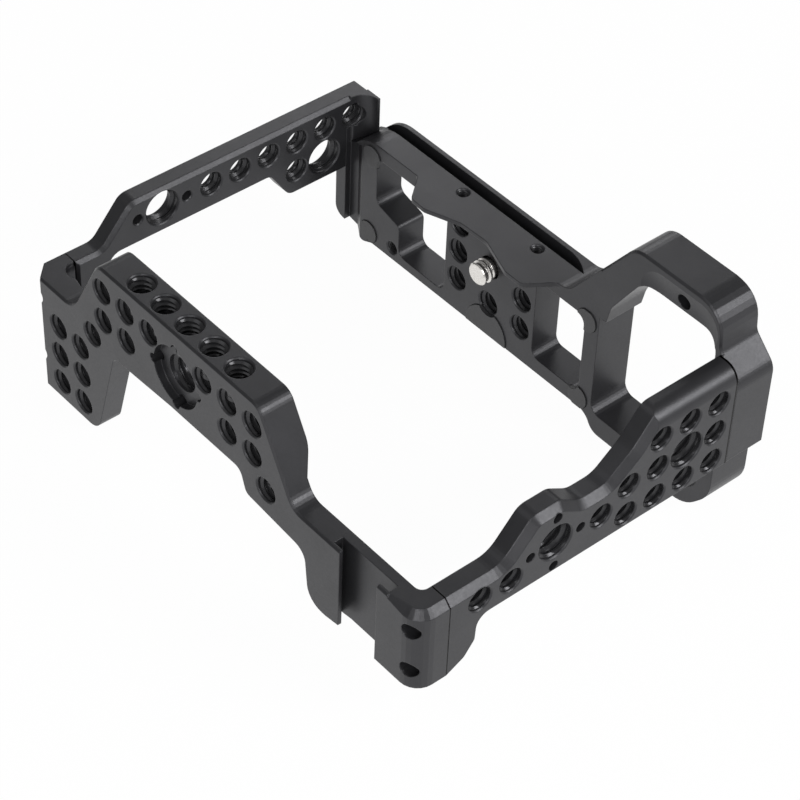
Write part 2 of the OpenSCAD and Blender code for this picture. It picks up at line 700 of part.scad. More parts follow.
// Groove in the upper edge, which bends towards the rest face at its right end.
module ledge_groove() {
    y1 = cage_d - ledge_wall_t;
    z0 = ledge_h - ledge_groove_t;
    bend_x = ledge_groove_bend_share * cage_w;
    intersection() {
        translate([left_t, y1 - ledge_groove_w, z0]) cube([cage_w, ledge_groove_w, cage_h]);
        union() {
            translate([left_t, y1 - ledge_groove_w, z0])
                cube([bend_x - left_t, ledge_groove_w, ledge_groove_t + over]);
            rod_z(bend_x, y1 - ledge_groove_r, z0, ledge_h + over, ledge_groove_r);
        }
    }
}

// Bed that keeps a floor under that groove where the windows pass behind it.
module groove_bed() {
    y0 = cage_d - ledge_wall_t - ledge_groove_w - lip_t;
    translate([left_t, y0, ledge_h - ledge_groove_t - lip_t])
        cube([hollow_end_share * cage_w - left_t, cage_d, cage_h]);
}

module rest_groove() {
    floor_y = bottom_y + rest_groove_t;
    slope = rest_groove_t / ((rest_groove_shares[1] - rest_groove_shares[0]) * cage_w);
    translate([0, 0, -over]) linear_extrude(ledge_h - ledge_rim_h / 2 + over) polygon([
        [left_t, bottom_y - over], [left_t, floor_y], [rest_groove_shares[0] * cage_w, floor_y],
        [rest_groove_shares[1] * cage_w + over / slope, bottom_y - over]]);
}

module loop_scoop() {
    z = web_z(scoop_z_share);
    y = bottom_y + scoop_t - scoop_r;
    rod_x(y, z, scoop_end_shares[0] * cage_w, scoop_end_shares[1] * cage_w, scoop_r);
    for (s = scoop_end_shares)
        translate([s * cage_w, y, z]) sphere(r = scoop_r, $fn = 2 * round_fn);
}

module loop_edge_bevel() {
    path = [for (p = bottom_outline()) if (p[1] > web_z(loop_bevel_end_shares[0]) && p[0] > cage_w / 2) p];
    same = [for (p = path) loop_bevel];
    translate([0, bottom_y, 0]) rotate([90, 0, 0])
        bevel_cutter(concat(path, [[loop_bevel_end_shares[1] * cage_w, web_z(loop_bevel_end_shares[2])]]),
            concat(same, [loop_bevel]), concat(same, [loop_bevel]));
}

// Counterbored holes for the screws of one corner.
module bottom_screw_holes(x, heights, seat_y) {
    for (z = heights) {
        rod_y(x, z, seat_y, cage_d + over, bottom_counterbore_r);
        rod_y(x, z, bottom_y - over, cage_d, corner_screw_r + head_gap);
    }
}

module bottom_plate() {
    color(black) placed() difference() {
        union() {
            bottom_body();
            bottom_lip();
        }
        difference() {
            window_cuts(bottom_y - over, cage_d + over);
            groove_bed();
        }
        bottom_hollow();
        screw_pocket();
        bottom_small_cuts();
        ledge_groove();
        rest_groove();
        loop_scoop();
        loop_edge_bevel();
        bottom_screw_holes(left_bottom_screw_x, bottom_left_screw_z, bottom_left_seat_y);
        bottom_screw_holes(top_grip_screw_x, bottom_grip_screw_z, bottom_grip_seat_y);
        dowel_hole(left_bottom_screw_x, bottom_left_dowel_z, bottom_y, -1);
        dowel_hole(top_grip_screw_x, bottom_grip_dowel_z, bottom_y, -1);
        pad_discs(pad_t - pad_proud, pad_gap, 0);
    }
}

// Left side plate.
function left_outline() = concat(
    [[left_seam_y, left_outline_shares[0][1] * left_h, 0]],
    sized(left_outline_shares, cage_d, left_h, blend_r),
    [[bottom_y, left_tab_z, 0], [bottom_y, left_saddle_z, 0], [left_end_y, left_saddle_z, 0],
        [left_end_y, left_h, blend_r / 5], [left_rise_shares[1] * cage_d, left_h, blend_r],
        [left_rise_shares[0] * cage_d, left_low_h, blend_r], [left_seam_y, left_low_h, 0]]);

// A threaded hole through the plate, with a mouth at both faces.
module left_hole(y, z, r) {
    threaded_x(y, z, left_t, -over, r);
    mouth_x(y, z, 0, -1, r);
}

module left_holes() {
    y0 = left_row_y_share * cage_d;
    for (i = [0 : 5])
        left_hole(y0 + i * hole_pitch, left_row_z, quarter_r);
    left_hole(y0 + 3 * hole_pitch, left_low_row_z, quarter_r);
    left_hole(y0 + 4 * hole_pitch, left_low_row_z, three_eighth_r);
    left_hole(left_locator_y_share * cage_d, left_row_z, three_eighth_r);
    for (side = [-1, 1])
        left_hole(left_locator_y_share * cage_d + side * pin_hole_reach, left_row_z, pin_hole_r);
}

// Bevel along the inner upper edge, from the seam to the return's hollow corner.
module left_edge_bevel() {
    rise = rounded([
        [left_end_y - left_return_t - left_return_r, left_h, 0],
        [left_rise_shares[1] * cage_d, left_h, blend_r],
        [left_rise_shares[0] * cage_d, left_low_h, blend_r], [left_seam_y - over, left_low_h, 0]]);
    same = [for (p = rise) left_inner_bevel];
    translate([left_t, 0, 0]) rotate([90, 0, 90]) bevel_cutter(rise, same, same);
}

// The plate's near end is bevelled down to the top plate's own end, so that the joint is flush.
module left_seam_bevel() {
    c = (1 - left_seam_shares[0]) * left_t;
    translate([0, 0, -over]) linear_extrude(left_h + 2 * over) polygon([
        [left_t - 2 * c, left_seam_y - c], [left_t + c, left_seam_y - c], [left_t + c, left_seam_y + 2 * c]]);
}

module left_side_plate() {
    color(black) placed() difference() {
        union() {
            stand_x(rounded(left_outline()), 0, left_t);
            left_return();
        }
        left_holes();
        left_edge_bevel();
        left_seam_bevel();
        for (z = top_left_screw_z)
            screw_hole(top_left_screw_x, z, left_seam_y, left_counterbore_end + corner_screw_l);
        for (z = bottom_left_screw_z)
            screw_hole(left_bottom_screw_x, z, bottom_y, bottom_left_seat_y - corner_screw_l);
        dowel_hole(top_left_screw_x, top_left_dowel_z, left_seam_y, 1);
        dowel_hole(left_bottom_screw_x, bottom_left_dowel_z, bottom_y, -1);
    }
}

// The short return at the far end: it has a hollow round corner and stands on the shoulder.
module left_return() {
    y0 = left_end_y - left_return_t - left_return_r;
    z0 = web_z(lug_foot_share) - left_return_t;
    difference() {
        translate([left_t, y0, z0]) cube([left_return_r, left_end_y - y0, left_h - z0]);
        rod_z(left_t + left_return_r, y0, z0 - over, left_h + over, left_return_r);
        bottom_body();
    }
}

// Camera screw, its washer and the snap ring.
module camera_screw() {
    tip_y = bottom_y - screw_reach;
    head_y = bottom_y + seat_t + washer_t;
    color(steel) placed() difference() {
        union() {
            rod_y(screw_x, screw_z, tip_y + lip_t / 4, bottom_y, screw_r);
            translate([screw_x, tip_y, screw_z]) rotate([-90, 0, 0])
                cylinder(h = lip_t / 4, r1 = screw_r - lip_t / 4, r2 = screw_r, $fn = round_fn);
            rod_y(screw_x, screw_z, bottom_y, head_y, shank_r);
            rod_y(screw_x, screw_z, head_y, head_y + screw_head_t, screw_head_r);
        }
        translate([screw_x - screw_head_r - over, head_y + screw_head_t - screw_slot_t, screw_z - screw_slot_w / 2])
            cube([2 * (screw_head_r + over), screw_slot_t + over, screw_slot_w]);
    }
}

module screw_washer() {
    y0 = bottom_y + seat_t;
    color(dark) placed() difference() {
        rod_y(screw_x, screw_z, y0, y0 + washer_t, washer_r);
        rod_y(screw_x, screw_z, y0 - over, y0 + washer_t + over, shank_r + slip_gap);
    }
}

module screw_retaining_ring() {
    color(steel) placed() difference() {
        rod_y(screw_x, screw_z, ring_y, ring_y + ring_t, ring_r);
        rod_y(screw_x, screw_z, ring_y - over, ring_y + ring_t + over, ring_hole_r);
        translate([screw_x - ring_gap_w / 2, ring_y - over, screw_z])
            cube([ring_gap_w, ring_t + 2 * over, ring_r + over]);
    }
}

// Corner screws and locating pins.
module top_left_corner_screws() {
    color(dark) placed() for (z = top_left_screw_z)
        cap_screw(top_left_screw_x, z, left_counterbore_end, 1);
}

module top_grip_corner_screws() {
    color(dark) placed() for (z = top_grip_screw_z)
        cap_screw(top_grip_screw_x, z, grip_counterbore_end, 1);
}

module bottom_left_corner_screws() {
    color(dark) placed() for (z = bottom_left_screw_z)
        cap_screw(left_bottom_screw_x, z, bottom_left_seat_y, -1);
}

module bottom_grip_corner_screws() {
    color(dark) placed() for (z = bottom_grip_screw_z)
        cap_screw(top_grip_screw_x, z, bottom_grip_seat_y, -1);
}

module top_left_dowel() {
    color(steel) placed() dowel(top_left_screw_x, top_left_dowel_z, left_seam_y, 1);
}

module top_grip_dowel() {
    color(steel) placed() dowel(top_grip_screw_x, top_grip_dowel_z, grip_seam_y, 1);
}

module bottom_left_dowel() {
    color(steel) placed() dowel(left_bottom_screw_x, bottom_left_dowel_z, bottom_y, -1);
}

module bottom_grip_dowel() {
    color(steel) placed() dowel(top_grip_screw_x, bottom_grip_dowel_z, bottom_y, -1);
}

// Rest pads: discs let into the rest face and trimmed clear of windows, holes and edges.
module pad_disc(shares, r, depth, grow, proud) {
    rod_y(shares[0] * cage_w, web_z(shares[1]), bottom_y - max(proud, 0), bottom_y + depth, r + grow);
}

module pad_discs(depth, grow, proud) {
    for (s = [upper_left_pad_shares, lower_left_pad_shares, upper_right_pad_shares, lower_right_pad_shares])
        pad_disc(s, pad_r, depth, grow, proud + over);
    pad_disc(lower_edge_pad_shares, lower_edge_pad_r, depth, grow, proud + over);
}

module pad_trim() {
    near = bottom_y - over;
    far = bottom_y + over;
    window_cuts(near, far);
    for (s = bottom_hole_shares)
        rod_y(s[0] * cage_w, web_z(s[1]), near, far, quarter_r + mouth_bevel + pad_edge_gap);
    translate([0, near, ledge_h - lip_t - pad_edge_gap]) cube([cage_w, far - near, cage_h]);
    translate([0, near, -over])
        cube([cage_w, far - near, over + pad_edge_gap + web_edge_z]);
}

module rest_pad(shares, r) {
    color(dark) placed() difference() {
        pad_disc(shares, r, pad_t - pad_proud, 0, pad_proud);
        pad_trim();
    }
}

module upper_left_rest_pad() { rest_pad(upper_left_pad_shares, pad_r); }

module lower_left_rest_pad() { rest_pad(lower_left_pad_shares, pad_r); }

module upper_right_rest_pad() { rest_pad(upper_right_pad_shares, pad_r); }

module lower_right_rest_pad() { rest_pad(lower_right_pad_shares, pad_r); }

module lower_edge_rest_pad() { rest_pad(lower_edge_pad_shares, lower_edge_pad_r); }

top_plate();
grip_side_plate();
bottom_plate();
left_side_plate();
camera_screw();
screw_retaining_ring();
screw_washer();
top_left_corner_screws();
top_grip_corner_screws();
bottom_left_corner_screws();
bottom_grip_corner_screws();
top_left_dowel();
top_grip_dowel();
bottom_left_dowel();
bottom_grip_dowel();
upper_left_rest_pad();
lower_left_rest_pad();
upper_right_rest_pad();
lower_right_rest_pad();
lower_edge_rest_pad();
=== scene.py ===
"""The camera cage dressed for a studio picture: anodised plates, real threads and a turned camera screw."""
import json
import math

import bmesh
import bpy
from mathutils import Matrix, Vector


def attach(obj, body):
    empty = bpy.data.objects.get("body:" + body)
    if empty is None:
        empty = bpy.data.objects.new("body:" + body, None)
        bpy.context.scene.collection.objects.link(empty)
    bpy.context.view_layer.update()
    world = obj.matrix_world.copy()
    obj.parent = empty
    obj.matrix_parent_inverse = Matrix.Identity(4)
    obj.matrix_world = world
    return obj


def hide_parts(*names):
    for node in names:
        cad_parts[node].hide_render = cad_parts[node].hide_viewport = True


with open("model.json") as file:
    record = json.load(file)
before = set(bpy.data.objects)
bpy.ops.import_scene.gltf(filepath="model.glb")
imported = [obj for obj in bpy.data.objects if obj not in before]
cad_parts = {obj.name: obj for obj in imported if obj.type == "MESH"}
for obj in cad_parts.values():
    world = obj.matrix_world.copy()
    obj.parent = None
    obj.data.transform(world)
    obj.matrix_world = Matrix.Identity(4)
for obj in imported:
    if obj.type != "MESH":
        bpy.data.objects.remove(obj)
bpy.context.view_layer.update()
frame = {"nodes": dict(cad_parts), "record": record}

MM = 0.001
CAGE_W = 143.2 * MM
CAGE_D = 105.7 * MM
TOP_H = 55 * MM
GRIP_H = 51.7 * MM
TOP_T = 6.1 * MM
BAND_T = 9 * MM
GRIP_T = 6.3 * MM
LEFT_T = 5 * MM
BOTTOM_T = 11.7 * MM
BOTTOM_Y = CAGE_D - BOTTOM_T
WEB_T = 8.4 * MM
LEDGE_H = 37.2 * MM
HOLE_PITCH = 9 * MM

X_AXIS = Vector((1, 0, 0))
Y_AXIS = Vector((0, 1, 0))
Z_AXIS = Vector((0, 0, 1))


def place(x, y, z):
    """A point given from the cage's left front corner, in the frame."""
    return Vector((x - CAGE_W / 2, y - CAGE_D / 2, z))


# Camera

CAMERA_AT = Vector((0.3553, -0.31595, 0.4641))
CAMERA_AZIMUTH = math.radians(48.03)
CAMERA_ELEVATION = math.radians(43.46)
CAMERA_ROLL = math.radians(2.46)
SENSOR_W = 36
CAMERA_LENS = 122.8
CLIP_NEAR = 0.01
CLIP_FAR = 20


def make_camera():
    data = bpy.data.cameras.new("photo_camera")
    data.sensor_width = SENSOR_W
    data.lens = CAMERA_LENS
    data.clip_start = CLIP_NEAR
    data.clip_end = CLIP_FAR
    camera = bpy.data.objects.new("photo_camera", data)
    bpy.context.scene.collection.objects.link(camera)
    a, e, r = CAMERA_AZIMUTH, CAMERA_ELEVATION, CAMERA_ROLL
    back = Vector((math.sin(a) * math.cos(e), -math.cos(a) * math.cos(e), math.sin(e)))
    level = Vector((math.cos(a), math.sin(a), 0))
    upright = back.cross(level)
    right = level * math.cos(r) + upright * math.sin(r)
    up = upright * math.cos(r) - level * math.sin(r)
    turn = Matrix((right, up, back)).transposed().to_4x4()
    camera.matrix_world = Matrix.Translation(CAMERA_AT) @ turn
    bpy.context.scene.camera = camera


# Materials

# Part of a noise's range that a map range or a ramp spreads over its two ends.
SPREAD_FROM = (0.25, 0.75)
RAMP_FROM = (0.3, 0.7)
BEVEL_SAMPLES = 6
# Sockets of a colour mix node: its factor, its two colours and its result.
MIX_FACTOR, MIX_A, MIX_B = 0, 6, 7
MIX_RESULT = 2


class Nodes:
    """A new material's node tree with short ways to add and join nodes."""

    def __init__(self, name):
        self.material = bpy.data.materials.new(name)
        self.material.use_nodes = True
        self.tree = self.material.node_tree
        self.tree.nodes.clear()
        self.shader = self.add("ShaderNodeBsdfPrincipled")
        output = self.add("ShaderNodeOutputMaterial")
        self.join(self.shader.outputs[0], output.inputs[0])
        self.place = self.add("ShaderNodeTexCoord").outputs["Object"]

    def add(self, kind, **values):
        node = self.tree.nodes.new(kind)
        for name, value in values.items():
            setattr(node, name, value)
        return node

    def join(self, source, target):
        self.tree.links.new(source, target)

    def noise(self, scale, detail=2.0):
        node = self.add("ShaderNodeTexNoise")
        node.inputs["Scale"].default_value = scale
        node.inputs["Detail"].default_value = detail
        self.join(self.place, node.inputs["Vector"])
        return node.outputs["Fac"]

    def spread(self, source, low, high):
        """A value from 0 to 1 spread over low to high."""
        node = self.add("ShaderNodeMapRange")
        node.inputs["From Min"].default_value = SPREAD_FROM[0]
        node.inputs["From Max"].default_value = SPREAD_FROM[1]
        node.inputs["To Min"].default_value = low
        node.inputs["To Max"].default_value = high
        self.join(source, node.inputs["Value"])
        return node.outputs["Result"]

    def ramp(self, source, low, high):
        """A value turned into a colour between low and high."""
        node = self.add("ShaderNodeValToRGB")
        for end, position, colour in zip(node.color_ramp.elements, RAMP_FROM, (low, high)):
            end.position = position
            end.color = (*colour, 1)
        self.join(source, node.inputs["Fac"])
        return node.outputs["Color"]

    def bump(self, height, strength, distance, normal=None):
        node = self.add("ShaderNodeBump")
        node.inputs["Strength"].default_value = strength
        node.inputs["Distance"].default_value = distance
        self.join(height, node.inputs["Height"])
        if normal:
            self.join(normal, node.inputs["Normal"])
        return node.outputs["Normal"]

    def math(self, operation, a, b=None):
        """The result of a math node on values or sockets."""
        node = self.add("ShaderNodeMath", operation=operation)
        for socket, value in zip(node.inputs, (a, b)):
            if isinstance(value, (int, float)):
                socket.default_value = value
            elif value is not None:
                self.join(value, socket)
        return node.outputs[0]

    def seam_line(self, y, side, half):
        """1 on the joint at a value of Y beside the side plate at low X (-1) or high X (1), else 0."""
        parts = self.add("ShaderNodeSeparateXYZ")
        self.join(self.place, parts.inputs[0])
        far = self.math("ABSOLUTE", self.math("SUBTRACT", parts.outputs["Y"], y - CAGE_D / 2))
        line = self.math("LESS_THAN", far, half)
        beside = self.math("GREATER_THAN", self.math("MULTIPLY", parts.outputs["X"], side), SEAM_MIN_X)
        return self.math("MULTIPLY", line, beside)

    def darker(self, colour, mask, dark):
        """The colour, turned into dark where the mask is 1."""
        node = self.add("ShaderNodeMix", data_type="RGBA")
        self.join(mask, node.inputs[MIX_FACTOR])
        self.join(colour, node.inputs[MIX_A])
        node.inputs[MIX_B].default_value = (*dark, 1)
        return node.outputs[MIX_RESULT]

    def soft_edges(self, radius):
        """A normal that rounds the edges by a radius."""
        node = self.add("ShaderNodeBevel", samples=BEVEL_SAMPLES)
        node.inputs["Radius"].default_value = radius
        return node.outputs["Normal"]


GRIP_SEAM_Y = 1.5 * TOP_T
LEFT_SEAM_Y = 1.656 * TOP_T
SEAM_HALF_W = 0.18 * MM
SEAM_MIN_X = CAGE_W / 2 - GRIP_T - SEAM_HALF_W
BOTTOM_SEAM_HALF_W = 0.28 * MM
# The line lies on the grip side plate, clear of the bottom plate's rest face.
BOTTOM_SEAM_Y = BOTTOM_Y - BOTTOM_SEAM_HALF_W - 0.02 * MM
SEAM_DARK = (0.003, 0.003, 0.003)

PLATE_METALLIC = 0.6
PLATE_SPECULAR = 0.62
PLATE_DARK = (0.031, 0.031, 0.034)
PLATE_LIGHT = (0.039, 0.039, 0.0425)
PLATE_MOTTLE_SCALE = 90
PLATE_GLOSS_SCALE = 1500
PLATE_ROUGHNESS = (0.34, 0.42)
PLATE_GRAIN_SCALE = 9000
PLATE_GRAIN_STRENGTH = 0.35
PLATE_EDGE = 0.35 * MM
MOTTLE_DETAIL = 3
GRAIN_HEIGHT = 0.02 * MM


def anodised_aluminium():
    """Black anodised aluminium over a fine blasted surface, with softly broken edges and dark joints."""
    n = Nodes("anodised_aluminium")
    shader = n.shader.inputs
    shader["Specular IOR Level"].default_value = PLATE_SPECULAR
    colour = n.ramp(n.noise(PLATE_MOTTLE_SCALE, MOTTLE_DETAIL), PLATE_DARK, PLATE_LIGHT)
    grip_line = n.seam_line(GRIP_SEAM_Y, 1, SEAM_HALF_W)
    left_line = n.seam_line(LEFT_SEAM_Y, -1, SEAM_HALF_W)
    bottom_line = n.seam_line(BOTTOM_SEAM_Y, 1, BOTTOM_SEAM_HALF_W)
    seams = n.math("MAXIMUM", n.math("MAXIMUM", grip_line, left_line), bottom_line)
    n.join(n.darker(colour, seams, SEAM_DARK), shader["Base Color"])
    metal = n.math("ADD", n.math("MULTIPLY", seams, 1 - PLATE_METALLIC), PLATE_METALLIC)
    n.join(metal, shader["Metallic"])
    n.join(n.spread(n.noise(PLATE_GLOSS_SCALE), *PLATE_ROUGHNESS), shader["Roughness"])
    grain = n.noise(PLATE_GRAIN_SCALE)
    n.join(n.bump(grain, PLATE_GRAIN_STRENGTH, GRAIN_HEIGHT, n.soft_edges(PLATE_EDGE)), shader["Normal"])
    return n.material


STEEL_DARK = (0.66, 0.64, 0.61)
STEEL_LIGHT = (0.84, 0.82, 0.79)
STEEL_MOTTLE_SCALE = 2500
STEEL_GLOSS_SCALE = 1800
STEEL_ROUGHNESS = (0.22, 0.36)
STEEL_RING_SCALE = 5000
STEEL_RING_STRENGTH = 0.1
STEEL_RING_HEIGHT = 0.01 * MM
STEEL_EDGE = 0.08 * MM


def bright_steel():
    """Bright turned steel with faint tool rings."""
    n = Nodes("bright_steel")
    shader = n.shader.inputs
    shader["Metallic"].default_value = 1
    colour = n.ramp(n.noise(STEEL_MOTTLE_SCALE, MOTTLE_DETAIL), STEEL_DARK, STEEL_LIGHT)
    n.join(colour, shader["Base Color"])
    n.join(n.spread(n.noise(STEEL_GLOSS_SCALE), *STEEL_ROUGHNESS), shader["Roughness"])
    rings = n.add("ShaderNodeTexWave", wave_type="BANDS", bands_direction="Y")
    rings.inputs["Scale"].default_value = STEEL_RING_SCALE
    n.join(n.place, rings.inputs["Vector"])
    edges = n.soft_edges(STEEL_EDGE)
    n.join(n.bump(rings.outputs["Fac"], STEEL_RING_STRENGTH, STEEL_RING_HEIGHT, edges), shader["Normal"])
    return n.material


# Plain finishes: metallic and specular; scale and detail of the mottling and its two colours; scale and
# range of the roughness; scale, strength and height of the grain; radius of the softened edges, if any.
FINISHES = {
    # The plates' finish on the threads, where it is cut sharper and glossier.
    "anodised_thread": dict(
        metallic=0.6, specular=0.5, mottle=(300, 3), dark=(0.03, 0.03, 0.032), light=(0.042, 0.042, 0.045),
        gloss=(2500, 0.2, 0.28), grain=(8000, 0.25, 0.02 * MM), edge=None),
    # Black oxide steel, slightly browner than the plates.
    "black_screw_steel": dict(
        metallic=0.8, specular=0.5, mottle=(1200, 3), dark=(0.05, 0.048, 0.046), light=(0.085, 0.082, 0.08),
        gloss=(2600, 0.3, 0.45), grain=(6000, 0.2, 0.02 * MM), edge=0.12 * MM),
    "spring_steel": dict(
        metallic=1, specular=0.5, mottle=(900, 3), dark=(0.2, 0.2, 0.21), light=(0.34, 0.34, 0.35),
        gloss=(2000, 0.28, 0.4), grain=(5000, 0.2, 0.02 * MM), edge=None),
    # Ground steel of the locating pins.
    "pin_steel": dict(
        metallic=1, specular=0.5, mottle=(1500, 3), dark=(0.5, 0.5, 0.5), light=(0.66, 0.66, 0.66),
        gloss=(2600, 0.2, 0.3), grain=(7000, 0.15, 0.01 * MM), edge=None),
    "washer_plastic": dict(
        metallic=0, specular=0.5, mottle=(1200, 2), dark=(0.018, 0.018, 0.019), light=(0.03, 0.03, 0.031),
        gloss=(3000, 0.5, 0.65), grain=(5000, 0.3, 0.02 * MM), edge=None),
    # Thin matt pads, a touch darker than the plate round them.
    "pad_rubber": dict(
        metallic=0, specular=0.6, mottle=(1100, 3), dark=(0.026, 0.026, 0.028), light=(0.034, 0.034, 0.036),
        gloss=(2400, 0.48, 0.58), grain=(7000, 0.4, 0.02 * MM), edge=0.15 * MM),
}


def plain_finish(name, metallic, specular, mottle, dark, light, gloss, grain, edge):
    """A material with mottled colour, uneven gloss and a fine grain."""
    n = Nodes(name)
    shader = n.shader.inputs
    shader["Metallic"].default_value = metallic
    shader["Specular IOR Level"].default_value = specular
    n.join(n.ramp(n.noise(*mottle), dark, light), shader["Base Color"])
    gloss_scale, low, high = gloss
    n.join(n.spread(n.noise(gloss_scale), low, high), shader["Roughness"])
    grain_scale, strength, height = grain
    edges = n.soft_edges(edge) if edge else None
    n.join(n.bump(n.noise(grain_scale), strength, height, edges), shader["Normal"])
    return n.material


def dress_cad_nodes(looks):
    """Gives every node that stays its material."""
    by_slot = {
        "anodised_aluminium": looks["anodised_aluminium"],
        "black_screw": looks["black_screw_steel"],
        "pin_steel": looks["pin_steel"],
        "bright_steel": looks["bright_steel"],
        "spring_steel": looks["spring_steel"],
        "washer": looks["washer_plastic"],
        "pad": looks["pad_rubber"],
    }
    for row in frame["record"]["subparts"]:
        node = frame["nodes"][row["node"]]
        node.data.materials.clear()
        node.data.materials.append(by_slot[row["material_slot"]])


# Meshes


def new_piece(name, mesh, material, body):
    """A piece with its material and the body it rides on."""
    piece = bpy.data.objects.new(name, mesh)
    bpy.context.scene.collection.objects.link(piece)
    mesh.materials.append(material)
    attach(piece, body)
    return piece


SMOOTH_ANGLE = math.radians(35)


def finish_mesh(bm, name):
    """Turns a bmesh into a mesh that is smooth but for its sharp edges."""
    bmesh.ops.recalc_face_normals(bm, faces=bm.faces)
    mesh = bpy.data.meshes.new(name)
    bm.to_mesh(mesh)
    bm.free()
    mesh.shade_smooth()
    mesh.set_sharp_from_angle(angle=SMOOTH_ANGLE)
    return mesh


def round_frame(direction):
    """Two directions square to a hole's direction."""
    side = Z_AXIS if abs(direction.z) < 0.5 else X_AXIS
    u = direction.cross(side).normalized()
    return u, direction.cross(u).normalized()


def skin_rings(bm, rings):
    """Joins closed rings of points into one closed body with flat ends."""
    count = len(rings[0])
    for a, b in zip(rings, rings[1:]):
        for k in range(count):
            m = (k + 1) % count
            bm.faces.new((a[k], a[m], b[m], b[k]))
    bm.faces.new(rings[0])
    bm.faces.new(reversed(rings[-1]))


THREAD_STEPS = 36
THREAD_FADE_TURNS = 0.5
THREAD_LEAST_RISE = 0.02
# Shares of the pitch: a ridge's height, and half its width at the top and at the foot.
THREAD_DEPTH_SHARE = 0.54
THREAD_CREST_SHARE = 0.07
THREAD_ROOT_SHARE = 0.44
THREAD_BED = 0.04 * MM


def add_thread(
        bm, start, direction, length, radius, pitch, inward,
        depth_share=THREAD_DEPTH_SHARE, crest_share=THREAD_CREST_SHARE):
    """A helical ridge on a round wall: inward from a hole's wall, or outward from a screw's core."""
    u, w = round_frame(direction)
    depth = depth_share * pitch
    turns = length / pitch
    count = int(turns * THREAD_STEPS)
    sign = -1 if inward else 1
    base = radius if inward else radius - depth
    rings = []
    for i in range(count + 1):
        turn = i / THREAD_STEPS
        angle = 2 * math.pi * turn
        out = u * math.cos(angle) + w * math.sin(angle)
        fade = min(1, turn / THREAD_FADE_TURNS, (count / THREAD_STEPS - turn) / THREAD_FADE_TURNS)
        rise = depth * max(fade, THREAD_LEAST_RISE)
        along = start + direction * (length * i / count)
        section = [
            (-sign * THREAD_BED, -THREAD_ROOT_SHARE * pitch),
            (sign * rise, -crest_share * pitch),
            (sign * rise, crest_share * pitch),
            (-sign * THREAD_BED, THREAD_ROOT_SHARE * pitch),
        ]
        rings.append([bm.verts.new(along + out * (base + r) + direction * s) for r, s in section])
    skin_rings(bm, rings)


QUARTER_R = 3.2 * MM
QUARTER_PITCH = 25.4 / 20 * MM
THREE_EIGHTH_R = 4.8 * MM
THREE_EIGHTH_PITCH = 25.4 / 16 * MM
SMALL_R = 1.5 * MM
SMALL_PITCH = 0.5 * MM
END_GAP = 0.35 * MM


class Threads:
    """The threads of one plate's holes, gathered in one mesh."""

    def __init__(self):
        self.bm = bmesh.new()

    def hole(self, mouth, direction, depth, radius=QUARTER_R, pitch=QUARTER_PITCH):
        """direction runs into the hole from its mouth; the ridge keeps clear of both faces."""
        clear = THREAD_ROOT_SHARE * pitch + END_GAP
        start = mouth + direction * clear
        add_thread(self.bm, start, direction, depth - 2 * clear, radius, pitch, True)

    def piece(self, name, material):
        mesh = finish_mesh(self.bm, name)
        new_piece(name, mesh, material, "cage")


LOCATOR_X = 0.4057 * CAGE_W
LOCATOR_Z = 41.6 * MM
LOCATOR_RECESS = 2 * MM
FIRST_HOLE_X = 10.05 * MM
ROW_Z = 47.9 * MM
EDGE_HOLE_DEPTH = 8.4 * MM
LEG_HOLE_SHARES = (0.0745, 0.097)
SLOPE_HOLE_SHARES = (0.23, 0.569)
CORNER_POCKET = 1.8 * MM


def top_plate_threads(material):
    threads = Threads()
    for side in (-1, 1):
        for i in range(3):
            x = LOCATOR_X + side * (FIRST_HOLE_X + i * HOLE_PITCH)
            threads.hole(place(x, 0, ROW_Z), Y_AXIS, BAND_T)
        for i in (1, 2):
            x = LOCATOR_X + side * (FIRST_HOLE_X + i * HOLE_PITCH)
            threads.hole(place(x, 0, ROW_Z - HOLE_PITCH), Y_AXIS, TOP_T)
        x = LOCATOR_X + side * SLOPE_HOLE_SHARES[0] * CAGE_W
        threads.hole(place(x, 0, SLOPE_HOLE_SHARES[1] * TOP_H), Y_AXIS, TOP_T)
    for i in range(2):
        for k in range(3):
            x = LEG_HOLE_SHARES[0] * CAGE_W + i * HOLE_PITCH
            z = LEG_HOLE_SHARES[1] * TOP_H + k * HOLE_PITCH
            threads.hole(place(x, 0, z), Y_AXIS, TOP_T + (0 if i else CORNER_POCKET))
    for i in range(-2, 3):
        mouth = place(LOCATOR_X + i * HOLE_PITCH, BAND_T / 2, TOP_H)
        threads.hole(mouth, -Z_AXIS, EDGE_HOLE_DEPTH)
    threads.hole(
        place(LOCATOR_X, LOCATOR_RECESS, LOCATOR_Z), Y_AXIS, BAND_T - LOCATOR_RECESS,
        THREE_EIGHTH_R, THREE_EIGHTH_PITCH)
    threads.piece("top_plate_threads", material)


GRIP_BLOCK_Y_SHARE = 0.752
GRIP_BLOCK_Z_SHARE = 0.683
GRIP_LOCATOR_SHARES = (0.3756, 0.608)
GRIP_SINGLE_SHARES = ((0.506, 0.594), (0.2545, 0.535), (0.1695, 0.535))


